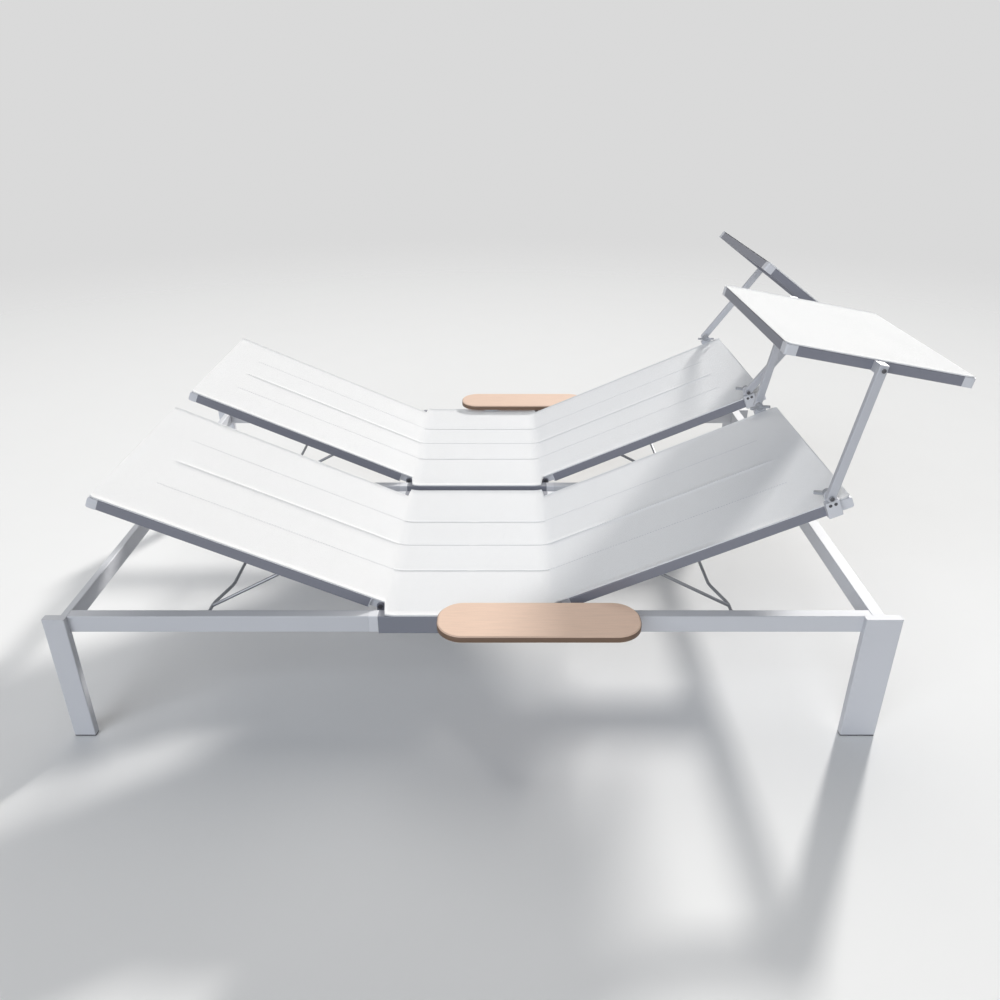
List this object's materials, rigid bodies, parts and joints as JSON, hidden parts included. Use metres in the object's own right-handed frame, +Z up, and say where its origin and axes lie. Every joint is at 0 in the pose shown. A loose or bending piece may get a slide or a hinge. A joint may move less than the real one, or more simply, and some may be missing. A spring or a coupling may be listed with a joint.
{
  "type": "double chaise lounger",
  "caption": "Two-place outdoor lounger with sling fabric leg and back rests on props, tilting sunshades and sliding side tables on one low frame.",
  "frame": {"origin": "middle of the footprint, on the floor", "axes": "+X from the foot end to the head end, +Y from the lounger that the picture shows in front to the one behind, +Z up"},
  "size_m": [2.1538, 1.586, 1.0133],
  "materials": {
    "light_powder_coat": "satin powder coat",
    "dark_powder_coat": "satin powder coat",
    "cast_caps": "satin",
    "white_sling_fabric": "woven mesh",
    "table_laminate": "matte",
    "dark_plastic": "matte",
    "steel": "zinc plated"
  },
  "bodies": {
    "base": {"foot_end_rail": "light_powder_coat", "head_end_rail": "light_powder_coat", "foot_leg_near": "light_powder_coat", "foot_leg_far": "light_powder_coat", "head_leg_near": "light_powder_coat", "head_leg_far": "light_powder_coat", "leg_glides": "dark_plastic", "foot_beams_near": "light_powder_coat", "foot_beams_far": "light_powder_coat", "seat_rails_near": "dark_powder_coat", "seat_rails_far": "dark_powder_coat", "head_beams_near": "light_powder_coat", "head_beams_far": "light_powder_coat", "beam_connectors": "cast_caps", "seat_spreaders_near": "light_powder_coat", "seat_spreaders_far": "light_powder_coat", "seat_sling_near": "white_sling_fabric", "seat_sling_far": "white_sling_fabric", "hinge_ears": "dark_powder_coat", "hinge_pins": "steel", "leg_stay_guides": "dark_powder_coat", "back_stay_guides": "dark_powder_coat"},
    "leg_rest_near": {"leg_side_rails_near": "dark_powder_coat", "leg_cross_tubes_near": "dark_powder_coat", "leg_corner_caps_near": "cast_caps", "leg_sling_near": "white_sling_fabric", "leg_hinge_tongues_near": "cast_caps"},
    "leg_stay_near": {"leg_stay_near": "steel"},
    "back_rest_near": {"back_side_rails_near": "dark_powder_coat", "back_cross_tubes_near": "dark_powder_coat", "back_corner_caps_near": "cast_caps", "back_sling_near": "white_sling_fabric", "back_hinge_tongues_near": "cast_caps", "shade_saddles_near": "cast_caps"},
    "back_stay_near": {"back_stay_near": "steel"},
    "sunshade_near": {"shade_arms_near": "light_powder_coat", "shade_rails_near": "dark_powder_coat", "shade_corners_near": "cast_caps", "shade_fabric_near": "white_sling_fabric"},
    "wing_knob_near_left": {"wing_knob_near_left": "dark_plastic"},
    "wing_knob_near_right": {"wing_knob_near_right": "dark_plastic"},
    "side_table_near": {"table_top_near": "table_laminate", "table_brackets_near": "steel"},
    "leg_rest_far": {"leg_side_rails_far": "dark_powder_coat", "leg_cross_tubes_far": "dark_powder_coat", "leg_corner_caps_far": "cast_caps", "leg_sling_far": "white_sling_fabric", "leg_hinge_tongues_far": "cast_caps"},
    "leg_stay_far": {"leg_stay_far": "steel"},
    "back_rest_far": {"back_side_rails_far": "dark_powder_coat", "back_cross_tubes_far": "dark_powder_coat", "back_corner_caps_far": "cast_caps", "back_sling_far": "white_sling_fabric", "back_hinge_tongues_far": "cast_caps", "shade_saddles_far": "cast_caps"},
    "back_stay_far": {"back_stay_far": "steel"},
    "sunshade_far": {"shade_arms_far": "light_powder_coat", "shade_rails_far": "dark_powder_coat", "shade_corners_far": "cast_caps", "shade_fabric_far": "white_sling_fabric"},
    "wing_knob_far_left": {"wing_knob_far_left": "dark_plastic"},
    "wing_knob_far_right": {"wing_knob_far_right": "dark_plastic"},
    "side_table_far": {"table_top_far": "table_laminate", "table_brackets_far": "steel"}
  },
  "joints": [
    {"name": "leg_hinge_near", "type": "hinge", "parent": "base", "child": "leg_rest_near", "pos_m": [-0.2989, -0.349, 0.3454], "axis": [0, 1, 0], "range_deg": [-23.7, 8.3]},
    {"name": "leg_stay_pivot_near", "type": "hinge", "parent": "leg_rest_near", "child": "leg_stay_near", "pos_m": [-0.51151, -0.349, 0.43327], "axis": [0, -1, 0], "range_deg": [-48.25, 16.93]},
    {"name": "back_hinge_near", "type": "hinge", "parent": "base", "child": "back_rest_near", "pos_m": [0.1301, -0.349, 0.3454], "axis": [0, -1, 0], "range_deg": [-23.5, 18.5]},
    {"name": "back_stay_pivot_near", "type": "hinge", "parent": "back_rest_near", "child": "back_stay_near", "pos_m": [0.34302, -0.349, 0.43253], "axis": [0, 1, 0], "range_deg": [-47.91, 37.73]},
    {"name": "shade_tilt_near", "type": "hinge", "parent": "back_rest_near", "child": "sunshade_near", "pos_m": [0.71822, -0.349, 0.64299], "axis": [0, 1, 0], "range_deg": [-34, 44]},
    {"name": "knob_turn_near_left", "type": "hinge", "parent": "back_rest_near", "child": "wing_knob_near_left", "pos_m": [0.71822, -0.633, 0.64299], "axis": [0, -1, 0], "range_deg": [-20, 51]},
    {"name": "knob_turn_near_right", "type": "hinge", "parent": "back_rest_near", "child": "wing_knob_near_right", "pos_m": [0.71822, -0.065, 0.64299], "axis": [0, -1, 0], "range_deg": [-20, 51]},
    {"name": "table_slide_near", "type": "slide", "parent": "base", "child": "side_table_near", "axis": [1, 0, 0], "range_m": [-0.8, 0.5]},
    {"name": "leg_hinge_far", "type": "hinge", "parent": "base", "child": "leg_rest_far", "pos_m": [-0.2989, 0.349, 0.3454], "axis": [0, 1, 0], "range_deg": [-23.7, 8.3]},
    {"name": "leg_stay_pivot_far", "type": "hinge", "parent": "leg_rest_far", "child": "leg_stay_far", "pos_m": [-0.51151, 0.349, 0.43327], "axis": [0, -1, 0], "range_deg": [-48.25, 16.93]},
    {"name": "back_hinge_far", "type": "hinge", "parent": "base", "child": "back_rest_far", "pos_m": [0.1301, 0.349, 0.3454], "axis": [0, -1, 0], "range_deg": [-23.5, 18.5]},
    {"name": "back_stay_pivot_far", "type": "hinge", "parent": "back_rest_far", "child": "back_stay_far", "pos_m": [0.34302, 0.349, 0.43253], "axis": [0, 1, 0], "range_deg": [-47.91, 37.73]},
    {"name": "shade_tilt_far", "type": "hinge", "parent": "back_rest_far", "child": "sunshade_far", "pos_m": [0.71822, 0.349, 0.64299], "axis": [0, 1, 0], "range_deg": [-59, 19]},
    {"name": "knob_turn_far_left", "type": "hinge", "parent": "back_rest_far", "child": "wing_knob_far_left", "pos_m": [0.71822, 0.065, 0.64299], "axis": [0, -1, 0], "range_deg": [-14, 57]},
    {"name": "knob_turn_far_right", "type": "hinge", "parent": "back_rest_far", "child": "wing_knob_far_right", "pos_m": [0.71822, 0.633, 0.64299], "axis": [0, -1, 0], "range_deg": [-14, 57]},
    {"name": "table_slide_far", "type": "slide", "parent": "base", "child": "side_table_far", "axis": [1, 0, 0], "range_m": [-0.8, 0.5]}
  ],
  "couplings": [
    {"joint": "leg_stay_pivot_near", "follows": "leg_hinge_near", "ratio": 2.0338},
    {"joint": "back_stay_pivot_near", "follows": "back_hinge_near", "ratio": 2.0367},
    {"joint": "leg_stay_pivot_far", "follows": "leg_hinge_far", "ratio": 2.0338},
    {"joint": "back_stay_pivot_far", "follows": "back_hinge_far", "ratio": 2.0367}
  ]
}
